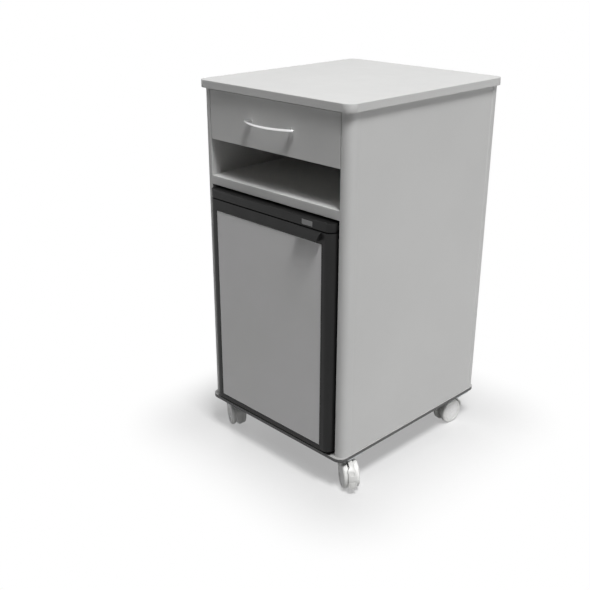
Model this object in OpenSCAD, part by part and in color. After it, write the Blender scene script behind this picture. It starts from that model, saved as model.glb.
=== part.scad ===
// Bedside cabinet on casters with a drawer, an open niche and a small built-in refrigerator.
// Millimetres, +Z up, X to the right, the front faces -Y. The origin is on the floor at the
// centre of the plan.

/* [Cabinet] */
// Width of the top board
top_w = 475; // [460:1:560]
// Depth of the top board
top_d = 532; // [510:1:620]
// Thickness of the top board
top_t = 18; // [12:1:22]
// Height of the top surface above the floor
total_h = 900; // [880:1:980]
// Corner radius of the top and base boards
board_r = 21; // [15:1:40]
// Thickness of the base board
base_t = 8; // [6:0.5:12]
// Base board past the posts at each side
base_lap = 1.5; // [0:0.5:6]
// Top board past the posts at each side
side_reveal = 6.5; // [3:0.5:12]
// Top board past the posts at the front
front_reveal = 9; // [4:0.5:14]
// Top board past the posts at the rear
rear_reveal = 4; // [2:0.5:12]
// Thickness of the side panels
panel_t = 16; // [12:1:19]
// Side panel set back from the outside of the posts
panel_recess = 1.5; // [0.5:0.25:3]
// Thickness of the back panel
back_t = 10; // [6:1:16]
// Back panel set in from the rear of the posts
back_inset = 2; // [1:0.5:6]

/* [Posts] */
// Width of a corner post
post_w = 24.6; // [22:0.2:28]
// Depth of a corner post
post_d = 26; // [23:1:34]
// Radius of the rounded outer edge of a post
post_r = 20; // [12:1:22]
// Thickness of the tongue that holds a side panel in a post
tongue_t = 6; // [4:0.5:8]
// Depth of that tongue
tongue_l = 7; // [4:0.5:9]
// Clearance round the tongue
tongue_gap = 0.2; // [0.1:0.05:0.4]

/* [Niche] */
// Clear height of the open niche
niche_h = 88; // [70:1:130]
// Thickness of the niche shelf
shelf_t = 22; // [16:1:28]

/* [Vents] */
// Length of a vent slot in the back panel
slot_l = 150; // [100:5:170]
// Height of a vent slot
slot_h = 8; // [5:0.5:10]
// Spacing of the vent slots
slot_pitch = 18; // [14:1:24]
// Space between the two columns of slots
slot_space = 24; // [16:1:40]
// Slots in each vent field
slot_rows = 5; // [3:1:6]
// Centre of the lowest slot above the base board
slot_base = 34; // [20:1:60]
// Centre of the top slot below the niche shelf
slot_drop = 30; // [20:1:60]
// Radius of the hole for the cable grommet
outlet_r = 25; // [18:1:30]
// Centre of that hole inwards from the panel's edge
outlet_in = 86.4; // [60:0.4:120]
// Centre of that hole above the base board
outlet_z = 190; // [160:5:260]
// Wall of the cable grommet
grommet_wall = 2.5; // [2:0.25:4]

/* [Drawer] */
// Gap between the top board and the drawer front
drawer_gap = 3; // [2:0.5:5]
// Height of the drawer front
drawer_h = 113; // [95:1:140]
// Thickness of the drawer front
drawer_front_t = 16; // [12:1:19]
// Gap between the drawer front and each post
drawer_side_gap = 2; // [1:0.25:3]
// Room between the drawer tray and the back panel
tray_room = 51; // [45:1:90]
// Height of the drawer tray
tray_h = 84; // [72:1:90]
// Wall of the drawer tray
tray_wall = 3; // [2:0.25:5]
// Radius of the tray's upright corners
tray_r = 16; // [8:1:24]
// Tray floor above the lower edge of the drawer front
tray_lift = 8; // [4:1:12]
// Width of the rim round the top of the tray
tray_rim = 3; // [2:0.5:4]

/* [Drawer runners] */
// Height of a runner's cabinet member
rail_h = 45; // [36:1:50]
// Depth of a runner from its batten to the drawer
rail_d = 12.7; // [11:0.1:15]
// Steel thickness of the runner members
rail_t = 1.2; // [1:0.1:1.5]
// Running gap between the members
rail_gap = 0.3; // [0.2:0.05:0.5]
// Each runner member starts this much behind the next one
rail_in = 2; // [1:0.5:4]
// Middle runner member shorter than the tray
rail_lap = 40; // [30:5:60]
// Outer and middle members stop short of the tray
rail_lip = 3.2; // [2.5:0.1:4]
// Outer member stops short of the middle one
rail_step = 0.5; // [0.3:0.1:1]
// Runner batten above and below the runner
batten_over = 5; // [2:1:10]
// Runner batten shorter than the tray
batten_short = 30; // [20:5:60]
// Runner centre above the tray floor
rail_z = 36; // [30:1:44]
// Batten clear of the inside of the post
rail_clear = 0.3; // [0.2:0.1:1]

/* [Bow handle] */
// Distance between the feet of the bow handle
bow_pitch = 128; // [96:1:160]
// Bow past each foot
bow_end = 12; // [6:0.5:14]
// Rise of the bow from its ends to its middle
bow_rise = 21; // [14:0.5:26]
// Middle of the bow's ends in front of the drawer front
bow_stand = 6; // [5:0.5:9]
// Height of the bow's section
bow_h = 6; // [4:0.5:8]
// Depth of the bow's section
bow_d = 8; // [7:0.5:10]
// Radius of a handle foot
bow_foot_r = 3.6; // [3:0.1:5]
// Handle height above the middle of the drawer front
bow_lift = 3; // [-10:0.5:20]
// Radius of the handle screws
screw_r = 2; // [1.5:0.1:2.5]

/* [Refrigerator] */
// Gap between the refrigerator and the shelf above it
fridge_gap = 6; // [4:0.5:10]
// Height of the refrigerator's feet
fridge_foot_h = 8; // [6:0.5:14]
// Radius of a foot
fridge_foot_r = 12; // [8:1:16]
// Gap between the door and each post
door_side_gap = 5.4; // [4:0.2:8]
// Height of the bar above the door
bar_h = 19; // [14:0.5:26]
// Gap between the bar and the door
bar_gap = 3; // [2.6:0.1:5]
// Door front in front of the top board's edge
door_proud = 9.4; // [4:0.2:16]
// Thickness of the door without its seal
door_t = 38; // [32:1:46]
// Radius of the upright edges of the door and bar
door_r = 19; // [14:0.5:22]
// Depth of the door seal
seal_d = 10; // [6:0.5:12]
// Width of the door seal
seal_w = 10; // [8:0.5:10.5]
// Seal clear of the refrigerator's opening
seal_gap = 0.5; // [0.25:0.25:1]
// Lower edge of the door above the refrigerator's underside
door_lift = 3; // [2.9:0.1:6]
// Depth of the refrigerator's case behind the door
case_d = 310; // [270:5:340]
// Thickness of the case's steel skin
skin_t = 1; // [0.8:0.1:1.5]
// Thickness of the side walls and back wall
wall_t = 29; // [26:1:36]
// Thickness of the roof
roof_t = 45; // [42:1:54]
// Thickness of the floor
floor_t = 32; // [28:1:40]
// Thickness of the inner liner
liner_t = 1.5; // [1:0.1:2.5]
// Corner radius inside the liner
liner_r = 12; // [6:1:20]
// Depth of the ribs that carry the wire shelves
rib_w = 5; // [4:0.5:8]
// Thickness of those ribs
rib_t = 4; // [3:0.5:6]

/* [Refrigerator door] */
// Width of the frame at each side of the decor panel
stile_w = 28; // [25:0.5:36]
// Height of the frame above the decor panel
top_rail_h = 21.5; // [20:0.5:30]
// Height of the frame below the decor panel
bottom_rail_h = 11.5; // [8:0.5:24]
// Thickness of the decor panel
decor_t = 4; // [2.5:0.5:5]
// Decor panel set back from the frame
decor_recess = 0.8; // [0.4:0.1:1]
// Lip behind the edge of the decor panel
decor_lip = 8; // [5:0.5:10]
// Wall of the moulded frame
frame_t = 3; // [2:0.25:4]
// Radius of the hinge bosses in the frame
boss_r = 8; // [6.5:0.5:9]
// Height of the hinge bosses
boss_h = 20; // [18:1:26]
// Radius of the hinge pins
pin_r = 3; // [2:0.25:4]
// Running clearance on a pin or axle
run_gap = 0.05; // [0.02:0.01:0.09]
// Length of the hinge pins
pin_l = 16; // [10:1:17]
// Thickness of the hinge plates
hinge_t = 2.4; // [1.6:0.1:2.5]
// Radius of the washer on the lower hinge pin
washer_r = 6; // [5:0.5:6.5]
// Depth of the door liner's side walls into the refrigerator
dyke_d = 60; // [45:1:64]
// Thickness of those walls
dyke_w = 14; // [8:1:18]
// Side walls clear of the inside of the refrigerator
dyke_gap = 15; // [14:1:22]
// Wall of the door racks
rack_t = 2; // [1.5:0.25:3]
// Height of the lower rack
low_rack_h = 80; // [50:1:100]
// Height of the upper rack
high_rack_h = 60; // [40:1:80]
// Upper rack above the lower one
rack_pitch = 250; // [200:5:270]
// Clearance between a rack and what holds it
rack_gap = 0.3; // [0.2:0.05:0.5]

/* [Door pull] */
// Width of the pull
pull_w = 67; // [50:1:90]
// Pull set in from the decor panel's edge
pull_inset = 2; // [0:0.5:20]
// Height of the pull
pull_h = 18; // [14:0.5:20]
// Reach of the pull in front of the door
pull_reach = 13.6; // [10:0.2:20]
// Height of the pull's straight lip
pull_lip = 3; // [2:0.25:5]
// Wall of the pull
pull_t = 2.2; // [1.6:0.2:3]
// Bulge of the pull's upper face
pull_bulge = 1.6; // [0.5:0.1:2.5]

/* [Refrigerator inside] */
// Radius of the shelf frame's wire
frame_wire_r = 2.5; // [2:0.25:3]
// Radius of the shelf's cross wires
cross_wire_r = 1.5; // [1:0.25:2]
// Cross wires in a shelf
cross_wires = 13; // [9:2:17]
// Lower shelf above the floor of the liner
low_shelf_z = 150; // [120:5:170]
// Upper shelf above the lower one
shelf_pitch = 130; // [110:5:150]
// Gap between the door racks and the shelves
shelf_front_gap = 10; // [8:1:30]
// Width of the evaporator
evap_w = 190; // [140:5:230]
// Height of the evaporator
evap_h = 110; // [80:5:120]
// Depth of the evaporator's fins
evap_d = 26; // [16:1:36]
// Thickness of the evaporator's plate and fins
evap_t = 3; // [2:0.5:4]
// Fins on the evaporator
evap_fins = 11; // [7:2:15]
// Length of the thermostat housing
thermo_l = 80; // [60:5:100]
// Height of the thermostat housing
thermo_h = 42; // [34:1:50]
// Depth of the thermostat housing
thermo_d = 22; // [18:1:28]
// Centre of the thermostat behind the shelves' front
thermo_in = 50; // [45:1:80]
// Thermostat housing below the round of the liner's ceiling
thermo_drop = 6; // [2:1:20]
// Radius of the thermostat knob
knob_r = 14; // [10:0.5:16]
// Height of the thermostat knob
knob_h = 11; // [8:0.5:14]
// Radius of the knob's shaft
shaft_r = 3; // [2:0.25:4]

/* [Cooling unit] */
// Radius of the cooling unit's tubes
tube_r = 8; // [6:0.5:9]
// Radius of the tank
tank_r = 26; // [20:1:28]
// Length of the tank
tank_l = 260; // [200:10:300]
// Gap between the tank and the boiler
tank_gap = 3; // [2:0.5:8]
// Tank above the floor of the case
tank_z = 90; // [60:5:110]
// Radius of the boiler's jacket
boiler_r = 27; // [20:1:30]
// Length of the boiler's jacket
boiler_l = 230; // [180:10:260]
// Boiler's axis in from the side of the case
boiler_in = 60; // [50:1:70]
// Length of the condenser
cond_l = 240; // [180:10:260]
// Height of the condenser's fins
cond_h = 60; // [44:2:70]
// Depth of the condenser's fins
cond_d = 36; // [26:1:44]
// Thickness of the condenser's fins
cond_t = 1.2; // [0.8:0.1:2]
// Condenser fins
cond_fins = 19; // [11:2:29]
// Condenser below the top of the case
cond_drop = 20; // [12:1:30]
// Tubes in the ladder above the tank
ladder_rows = 4; // [2:1:4]
// Spacing of those tubes
ladder_pitch = 52; // [44:1:56]
// Side of the square terminal box
term_w = 66; // [50:1:80]
// Depth of the terminal box
term_d = 34; // [24:1:40]
// Terminal box below the condenser
term_drop = 30; // [20:1:50]
// Middle of the cooling unit behind the case
unit_y = 44; // [32:1:50]

/* [Casters] */
// Height of the base board above the floor
caster_h = 78.5; // [78:0.5:92]
// Swivel axis in from the side edge of the top board
swivel_side_in = 33.5; // [32:0.5:60]
// Swivel axis in from the front and rear edges of the boards
swivel_end_in = 54; // [50:0.5:80]
// Wheel radius
wheel_r = 32.5; // [28:0.5:33]
// Half of the caster's width over its wheels
caster_half_w = 19.5; // [18:0.5:24]
// Wheel axis behind the swivel axis
trail = 25; // [22:0.5:28]
// Inside of each wheel from the middle of the caster
wheel_in = 7.5; // [7:0.25:8.5]
// Rounding of the wheel's outer edge
tread_r = 5; // [3:0.5:8]
// Axle radius
axle_r = 3; // [2.5:0.25:4]
// Side of the mounting plate
plate_w = 56; // [48:1:60]
// Thickness of the mounting plate
plate_t = 3; // [2:0.25:4]
// Spacing of the mounting screws
plate_pitch = 42; // [36:1:46]
// Radius of the swivel bearing
bearing_r = 14; // [12:0.5:15]
// Height of the swivel bearing
bearing_h = 5.5; // [4:0.25:6]
// Radius of the kingpin
king_r = 4; // [3:0.25:4.5]
// Length of the kingpin inside the fork
king_l = 30; // [24:1:32]
// Wall of the fork in front of and behind the kingpin
king_wall = 6; // [4:0.5:7]
// Length of the round boss under the swivel bearing
boss_l = 11; // [9:0.5:13]
// Running gap under the swivel bearing
swivel_gap = 0.3; // [0.2:0.05:0.5]
// Thickness of the hood over the wheels
hood_t = 2.8; // [2:0.1:3]
// Gap between the wheels and the hood
hood_gap = 1.5; // [1:0.25:2]
// Angle at which the hood starts over the wheels
hood_start = 122; // [118:1:130]
// Angle at which the hood ends behind the wheels
hood_end = 172; // [160:1:176]
// Thickness of the thin part of the fork's web
web_t = 6; // [5:0.5:7]
// Radius of the thin part of the web
web_r = 25; // [22:0.5:28]
// Thickness of the web round the kingpin
stem_t = 12; // [11:0.5:13]
// Front right caster turned from straight ahead
turn_front_right = 56; // [-180:1:180]
// Front left caster turned from straight ahead
turn_front_left = 62; // [-180:1:180]
// Rear right caster turned from straight ahead
turn_rear_right = -6; // [-180:1:180]
// Rear left caster turned from straight ahead
turn_rear_left = -65; // [-180:1:180]

/* [Brake pedal] */
// Width of the pedal's foot plate
pedal_w = 19.5; // [16:0.5:24]
// Width of the neck above it
neck_w = 10; // [9:0.5:11]
// Thickness of the pedal
pedal_t = 3.5; // [2.5:0.25:4.5]
// Gap between the wheels and the pedal
pedal_gap = 2.5; // [2:0.25:4]
// Angle at which the foot plate narrows to the neck
pedal_shoulder = 43; // [38:1:50]
// Angle of the neck's upper end
pedal_top = 98; // [80:1:100]
// Foot plate's lower end below the wheel's axis
pedal_drop = 16.5; // [12:0.5:18]
// Outward lean of the foot plate over that drop
pedal_lean = 2; // [0:0.25:3]
// Grip pad in from the sides of the foot plate
pad_in = 3.2; // [2:0.2:5]
// Height of the grip pad above the foot plate
pad_t = 0.6; // [0.3:0.1:1]
// Radius of the shallow dimple in the foot plate
dimple_r = 4.5; // [3:0.5:6]
// Pivot from the wheel's axis
pedal_pivot_r = 20; // [18:0.5:21]
// Angle of the pivot
pedal_pivot_a = 50; // [42:1:54]
// Thickness of the pedal's cheeks
cheek_t = 2; // [1.5:0.1:2.2]
// Radius of the pedal's pin
pedal_pin_r = 2; // [1.5:0.25:2.5]

/* [Hidden] */
$fn = 64;
SLACK = 0.3;      // seat gap between parts that move past each other
OVER = 1;         // cut past a face

// Plan of the cabinet
plan_y = (door_proud + pull_reach) / 2;
front_y = plan_y - top_d / 2;
rear_y = plan_y + top_d / 2;
post_front_y = front_y + front_reveal;
post_rear_y = rear_y - rear_reveal;
post_outer_x = top_w / 2 - side_reveal;
base_w = 2 * (post_outer_x + base_lap);
post_inner_x = post_outer_x - post_w;
panel_outer_x = post_outer_x - panel_recess;
panel_inner_x = panel_outer_x - panel_t;
tongue_x = panel_outer_x - panel_t / 2;
back_rear_y = post_rear_y - back_inset;
back_front_y = back_rear_y - back_t;
outlet_x = post_inner_x - outlet_in;

// Heights of the cabinet
base_top_z = caster_h + base_t;
top_under_z = total_h - top_t;
drawer_z = top_under_z - drawer_gap - drawer_h;
shelf_top_z = drawer_z - niche_h;
shelf_z = shelf_top_z - shelf_t;
vent_top_z = shelf_z - slot_drop;

// Refrigerator
fridge_top_z = shelf_z - fridge_gap;
fridge_z = base_top_z + fridge_foot_h;
door_half_w = post_inner_x - door_side_gap;
door_z = fridge_z + door_lift;
door_top_z = fridge_top_z - bar_h - bar_gap;
door_h = door_top_z - door_z;
door_y = front_y - door_proud;
door_back_y = door_y + door_t;
case_y = door_back_y + seal_d;
case_back_y = case_y + case_d;
case_half_w = door_half_w - 1;
case_top_z = fridge_top_z - 1;
room_half_w = case_half_w - wall_t;
room_z = fridge_z + floor_t;
room_top_z = case_top_z - roof_t;
room_back_y = case_back_y - wall_t;
hinge_x = door_r - door_half_w;
hinge_y = door_y + door_r;
low_shelf_top = room_z + low_shelf_z;
shelf_front_y = case_y + dyke_d + shelf_front_gap;
shelf_back_y = room_back_y - evap_d - evap_t - 6;

// Refrigerator door
decor_half_w = door_half_w - stile_w;
decor_z = door_z + bottom_rail_h;
decor_h = door_h - bottom_rail_h - top_rail_h;
web_y = door_y + decor_recess + decor_t;
cavity_y = web_y + frame_t;
dyke_outer_x = room_half_w - dyke_gap;
dyke_inner_x = dyke_outer_x - dyke_w;
rack_half_w = dyke_inner_x - rack_gap;
dyke_z = room_z + 6;
dyke_h = room_top_z - room_z - 12;
low_rack_z = dyke_z + 6;

// Drawer
front_half_w = post_inner_x - drawer_side_gap;
rail_x = post_inner_x - rail_clear;
tray_half_w = rail_x - rail_d;
tray_y = post_front_y + drawer_front_t;
tray_l = back_front_y - tray_room - tray_y;
tray_z = drawer_z + tray_lift;
rail_mid_z = tray_z + rail_z;
bow_z = drawer_z + drawer_h / 2 + bow_lift;
bow_half = bow_pitch / 2 + bow_end;
bow_radius = (bow_half * bow_half + bow_rise * bow_rise) / (2 * bow_rise);
bow_centre_y = post_front_y - bow_stand - bow_rise + bow_radius;
foot_reach = bow_radius * cos(asin(bow_pitch / 2 / bow_radius));
foot_front_y = bow_centre_y - foot_reach;

// Casters
swivel_x = top_w / 2 - swivel_side_in;
swivel_y = top_d / 2 - swivel_end_in;
plate_z = caster_h - plate_t;
bearing_z = plate_z - bearing_h;
boss_top_z = bearing_z - swivel_gap;
king_z = boss_top_z - king_l;
hood_in = wheel_r + hood_gap;
hood_out = hood_in + hood_t;
pedal_in = wheel_r + pedal_gap;
pedal_out = pedal_in + pedal_t;
pivot_u = pedal_pivot_r * cos(pedal_pivot_a);
pivot_z = pedal_pivot_r * sin(pedal_pivot_a);
cheek_in = web_t / 2 + SLACK;
cheek_out = cheek_in + cheek_t;

// ---------- Shared shapes ----------

// Rectangle with four round corners, centred
module round_rect(w, d, r) {
    square([w - 2 * r, d], center = true);
    square([w, d - 2 * r], center = true);
    for (sx = [-1, 1], sy = [-1, 1])
        translate([sx * (w / 2 - r), sy * (d / 2 - r)]) circle(r);
}

// Rectangle from y0 to y1, its two corners at y0 rounded
module front_round(half_w, y0, y1, r) {
    translate([-half_w, y0 + r]) square([2 * half_w, y1 - y0 - r]);
    translate([-half_w + r, y0]) square([2 * (half_w - r), r + OVER]);
    for (s = [-1, 1]) translate([s * (half_w - r), y0 + r]) circle(r);
}

// Box between two corners
module box(low, high) {
    translate(low) cube(high - low);
}

// Extrusion along +Y of a shape drawn in X and Z
module along_y(y0, y1) {
    translate([0, y1, 0]) rotate([90, 0, 0]) linear_extrude(y1 - y0) children();
}

// Extrusion along +X of a shape drawn in Y and Z
module along_x(x0, x1) {
    translate([x0, 0, 0]) rotate([90, 0, 90]) linear_extrude(x1 - x0) children();
}

module both_sides() {
    children();
    mirror([1, 0, 0]) children();
}

// ---------- Cabinet ----------

module board(z, t, w) {
    translate([0, plan_y, z]) linear_extrude(t) round_rect(w, top_d, board_r);
}

module top_board() {
    color("gainsboro") board(top_under_z, top_t, top_w);
}

module base_board() {
    color("dimgray") difference() {
        board(caster_h, base_t, base_w);
        screw_places() translate([0, 0, caster_h - OVER])
            cylinder(r = screw_r + 0.1, h = base_t + 2 * OVER);
    }
}

// A side panel with a tongue along its front and rear edges
module side_panel() {
    y0 = post_front_y + post_d;
    y1 = post_rear_y - post_d;
    h = top_under_z - base_top_z;
    translate([0, 0, base_top_z]) linear_extrude(h) {
        translate([panel_inner_x, y0]) square([panel_t, y1 - y0]);
        translate([tongue_x - tongue_t / 2, y0 - tongue_l])
            square([tongue_t, y1 - y0 + 2 * tongue_l]);
    }
}

module left_side_panel() {
    color("silver") mirror([1, 0, 0]) side_panel();
}

module right_side_panel() {
    color("silver") side_panel();
}

// Post with a rounded outer edge and a groove for the panel's tongue
module post_profile() {
    groove_t = tongue_t + 2 * tongue_gap;
    groove_l = tongue_l + tongue_gap;
    difference() {
        union() {
            translate([post_inner_x, post_front_y + post_r])
                square([post_w, post_d - post_r]);
            translate([post_inner_x, post_front_y])
                square([post_w - post_r, post_d]);
            intersection() {
                translate([post_outer_x - post_r, post_front_y + post_r]) circle(post_r);
                translate([post_outer_x - post_r - OVER, post_front_y])
                    square([post_r + OVER, post_r + OVER]);
            }
        }
        translate([tongue_x - groove_t / 2, post_front_y + post_d - groove_l])
            square([groove_t, groove_l + OVER]);
    }
}

module posts() {
    translate([0, 0, base_top_z]) linear_extrude(top_under_z - base_top_z) post_profile();
}

module front_corner_posts() {
    color("silver") both_sides() posts();
}

module rear_corner_posts() {
    color("silver") both_sides()
        translate([0, post_front_y + post_rear_y, 0]) mirror([0, 1, 0]) posts();
}

module niche_shelf() {
    color("silver") translate([0, 0, shelf_z]) linear_extrude(shelf_t) {
        translate([-panel_inner_x, post_front_y + post_d])
            square([2 * panel_inner_x, post_rear_y - post_front_y - 2 * post_d]);
        translate([-post_inner_x, post_front_y])
            square([2 * post_inner_x, back_front_y - post_front_y]);
    }
}

module slot(x, z) {
    translate([x, z]) {
        square([slot_l - slot_h, slot_h], center = true);
        for (s = [-1, 1]) translate([s * (slot_l - slot_h) / 2, 0]) circle(slot_h / 2);
    }
}

module vent_field(z) {
    for (row = [0 : slot_rows - 1], s = [-1, 1])
        slot(s * (slot_l + slot_space) / 2, z + row * slot_pitch);
}

module back_panel() {
    color("silver") along_y(back_front_y, back_rear_y) difference() {
        translate([-post_inner_x, base_top_z])
            square([2 * post_inner_x, top_under_z - base_top_z]);
        vent_field(base_top_z + slot_base);
        vent_field(vent_top_z - (slot_rows - 1) * slot_pitch);
        translate([outlet_x, base_top_z + outlet_z]) circle(outlet_r);
    }
}

// Flanged ring that lines the cable hole, its flange outside
module cable_grommet() {
    flange_t = 2;
    flange_r = outlet_r + 4;
    tube_l = back_t + 3;
    color("dimgray") translate([outlet_x, back_rear_y, base_top_z + outlet_z])
        rotate([90, 0, 0]) difference() {
            union() {
                translate([0, 0, -flange_t]) cylinder(r = flange_r, h = flange_t);
                cylinder(r = outlet_r - 0.1, h = tube_l);
            }
            translate([0, 0, -flange_t - OVER])
                cylinder(r = outlet_r - grommet_wall, h = tube_l + flange_t + 2 * OVER);
        }
}

// ---------- Drawer runners ----------

// Channel from s0 to s1 across the runner, of height h, its web at one end
module channel(s0, s1, h, web_at_s0) {
    translate([s0, -h / 2]) difference() {
        square([s1 - s0, h]);
        translate([web_at_s0 ? rail_t : -OVER, rail_t])
            square([s1 - s0 - rail_t + OVER, h - 2 * rail_t]);
    }
}

// Places a runner member; its profile starts at the batten and grows towards the drawer
module runner(y0, l) {
    both_sides() translate([rail_x, 0, rail_mid_z]) mirror([1, 0, 0])
        along_y(y0, y0 + l) children();
}

module rail_battens() {
    y0 = post_front_y + post_d;
    half_h = rail_h / 2 + batten_over;
    color("tan") both_sides()
        box([rail_x, y0, rail_mid_z - half_h],
            [panel_inner_x, y0 + tray_l - batten_short, rail_mid_z + half_h]);
}

module cabinet_rails() {
    color("lightsteelblue") runner(tray_y + 3 * rail_in, tray_l - 5 * rail_in)
        channel(0, rail_d - rail_lip - rail_step, rail_h, true);
}

module middle_rails() {
    s0 = rail_t + rail_gap;
    h = rail_h - 2 * (rail_t + rail_gap);
    color("lightsteelblue") runner(tray_y + 2 * rail_in, tray_l - rail_lap)
        channel(s0, rail_d - rail_lip, h, true);
}

module drawer_rails() {
    s0 = 2 * (rail_t + rail_gap);
    h = rail_h - 4 * (rail_t + rail_gap);
    color("lightsteelblue") runner(tray_y + rail_in, tray_l - 2 * rail_in)
        channel(s0, rail_d, h, false);
}

// ---------- Drawer ----------

module handle_places() {
    for (s = [-1, 1]) translate([s * bow_pitch / 2, 0, bow_z]) children();
}

module drawer_front() {
    color("silver") difference() {
        box([-front_half_w, post_front_y, drawer_z],
            [front_half_w, tray_y, drawer_z + drawer_h]);
        handle_places() translate([0, tray_y + OVER, 0]) rotate([90, 0, 0])
            cylinder(r = screw_r + 0.1, h = drawer_front_t + 2 * OVER);
    }
}

module drawer_tray() {
    mid_y = tray_y + tray_l / 2;
    inner_w = 2 * (tray_half_w - tray_wall);
    inner_l = tray_l - 2 * tray_wall;
    color("whitesmoke") difference() {
        union() {
            translate([0, mid_y, tray_z]) linear_extrude(tray_h)
                round_rect(2 * tray_half_w, tray_l, tray_r);
            // square front corners give the tray a full seat on the drawer front
            box([-tray_half_w, tray_y, tray_z],
                [tray_half_w, tray_y + tray_r, tray_z + tray_h]);
        }
        translate([0, mid_y, tray_z + tray_wall]) linear_extrude(tray_h)
            round_rect(inner_w - 2 * tray_rim, inner_l - 2 * tray_rim, tray_r - tray_rim);
        // the walls are thinner below the rim
        translate([0, mid_y, tray_z + tray_wall])
            linear_extrude(tray_h - tray_wall - 2 * tray_rim)
                round_rect(inner_w, inner_l, tray_r - tray_wall);
        handle_places() translate([0, tray_y + tray_wall + tray_rim + OVER, 0])
            rotate([90, 0, 0]) cylinder(r = screw_r + 0.1, h = tray_wall + tray_rim + 3);
    }
}

module bow_section() {
    translate([bow_radius, 0]) {
        square([bow_d - bow_h, bow_h], center = true);
        for (s = [-1, 1]) translate([s * (bow_d - bow_h) / 2, 0]) circle(bow_h / 2);
    }
}

// Arched bar on two round feet
module drawer_handle() {
    half_a = asin(bow_half / bow_radius);
    foot_l = post_front_y - foot_front_y;
    color("white") difference() {
        union() {
            translate([0, bow_centre_y, bow_z]) rotate([0, 0, -90 - half_a])
                rotate_extrude(angle = 2 * half_a, $fn = 128) bow_section();
            handle_places() translate([0, post_front_y, 0]) rotate([90, 0, 0])
                cylinder(r = bow_foot_r, h = foot_l);
        }
        handle_places() translate([0, post_front_y + OVER, 0]) rotate([90, 0, 0])
            cylinder(r = screw_r, h = foot_l + OVER - 2);
    }
}

module handle_screws() {
    head_y = tray_y + tray_wall;
    head_h = 2.4;
    shank_l = head_y - post_front_y + 5;
    color("lightgray") handle_places() translate([0, head_y, 0]) rotate([90, 0, 0]) {
        cylinder(r = screw_r, h = shank_l);
        translate([0, 0, -head_h]) cylinder(r = 2 * screw_r, h = head_h);
    }
}

// ---------- Refrigerator ----------

module room_profile(grow) {
    translate([0, (room_z + room_top_z) / 2])
        round_rect(2 * (room_half_w + grow), room_top_z - room_z + 2 * grow,
                   liner_r + grow);
}

module fridge_case() {
    color("dimgray") difference() {
        box([-case_half_w, case_y, fridge_z], [case_half_w, case_back_y, case_top_z]);
        box([-case_half_w + skin_t, case_y - OVER, fridge_z + skin_t],
            [case_half_w - skin_t, case_back_y - skin_t, case_top_z - skin_t]);
    }
}

module fridge_foam() {
    color("khaki") difference() {
        box([-case_half_w + skin_t, case_y + liner_t, fridge_z + skin_t],
            [case_half_w - skin_t, case_back_y - skin_t, case_top_z - skin_t]);
        along_y(case_y, room_back_y + liner_t) room_profile(liner_t);
    }
}

// Moulded liner with a flange round the front and a pair of ribs under each shelf
module fridge_liner() {
    rib_y = shelf_front_y - 4;
    color("white") {
        difference() {
            union() {
                along_y(case_y, room_back_y + liner_t) room_profile(liner_t);
                box([-case_half_w + skin_t, case_y, fridge_z + skin_t],
                    [case_half_w - skin_t, case_y + liner_t, case_top_z - skin_t]);
            }
            along_y(case_y - OVER, room_back_y) room_profile(0);
        }
        for (k = [0, 1]) both_sides()
            box([room_half_w - rib_w, rib_y, low_shelf_top + k * shelf_pitch - rib_t],
                [room_half_w + liner_t / 2, shelf_back_y + 4,
                 low_shelf_top + k * shelf_pitch]);
    }
}

// Bar above the door; its front upper edge is rounded
module fridge_bar() {
    edge_r = 4;
    z0 = door_top_z + bar_gap;
    color("black") intersection() {
        translate([0, 0, z0]) linear_extrude(bar_h)
            front_round(door_half_w, door_y, case_y, door_r);
        along_x(-door_half_w - OVER, door_half_w + OVER) {
            translate([door_y - OVER, z0 - OVER])
                square([case_y - door_y + 2 * OVER, bar_h + OVER - edge_r]);
            translate([door_y + edge_r, z0]) square([case_y - door_y, bar_h]);
            translate([door_y + edge_r, z0 + bar_h - edge_r]) circle(edge_r);
        }
    }
}

module fridge_feet() {
    inset_x = 42;
    inset_y = 60;
    color("dimgray") both_sides()
        for (y = [case_y + inset_y, case_back_y - inset_y])
            translate([case_half_w - inset_x, y, base_top_z])
                cylinder(r = fridge_foot_r, h = fridge_foot_h);
}

// Plate from z0 to z0 + hinge_t that reaches from the pin back to y1
module hinge_plate(z0, y1) {
    translate([hinge_x, 0, z0]) linear_extrude(hinge_t) {
        translate([0, hinge_y]) circle(boss_r);
        translate([-boss_r, hinge_y]) square([2 * boss_r, y1 - hinge_y]);
    }
}

// Held against the underside of the bar, its pin down into the door
module upper_hinge() {
    z0 = door_top_z + bar_gap - hinge_t;
    hinge_plate(z0, case_y);
    translate([hinge_x, hinge_y, door_top_z - pin_l])
        cylinder(r = pin_r, h = z0 - door_top_z + pin_l + 1);
}

// Held against the underside of the case, its pin and washer up into the door
module lower_hinge() {
    z0 = fridge_z - hinge_t;
    washer_h = door_lift - SLACK;
    hinge_plate(z0, case_y + 26);
    translate([hinge_x, hinge_y, z0 + 1])
        cylinder(r = pin_r, h = hinge_t - 1 + door_lift + pin_l);
    translate([hinge_x, hinge_y, z0 + 1])
        cylinder(r = washer_r, h = hinge_t - 1 + washer_h);
}

module door_hinges() {
    color("lightsteelblue") {
        upper_hinge();
        lower_hinge();
    }
}

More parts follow.
